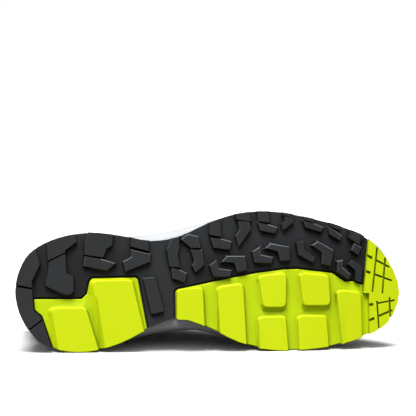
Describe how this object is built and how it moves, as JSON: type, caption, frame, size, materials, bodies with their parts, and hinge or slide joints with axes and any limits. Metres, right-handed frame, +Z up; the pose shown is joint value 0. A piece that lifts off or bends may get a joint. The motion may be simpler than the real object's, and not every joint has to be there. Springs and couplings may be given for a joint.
{
  "type": "safety shoe",
  "caption": "Low lace-up safety trainer for the right foot, lying on its side: lugged black rubber sole with bright inserts and toe bumper, pale foam midsole, hollow black upper.",
  "frame": {"origin": "middle of the lying shoe's outline on the floor", "axes": "+X from heel to toe, +Y from the tread to the collar, +Z up, with the lateral side on top"},
  "size_m": [0.305, 0.1354, 0.1081],
  "materials": {
    "black_rubber": "matte moulded",
    "bright_rubber": "matte moulded",
    "pale_foam": "moulded foam skin",
    "foot_bed": "brushed textile",
    "black_textile": "woven textile",
    "black_padding": "padded textile",
    "black_cord": "braided"
  },
  "bodies": {
    "root": {"outsole": "black_rubber", "heel_pad": "bright_rubber", "forefoot_pad": "bright_rubber", "toe_bumper": "bright_rubber", "midsole": "pale_foam", "insole": "foot_bed", "upper": "black_textile", "tongue": "black_padding", "lace": "black_cord"}
  },
  "joints": []
}
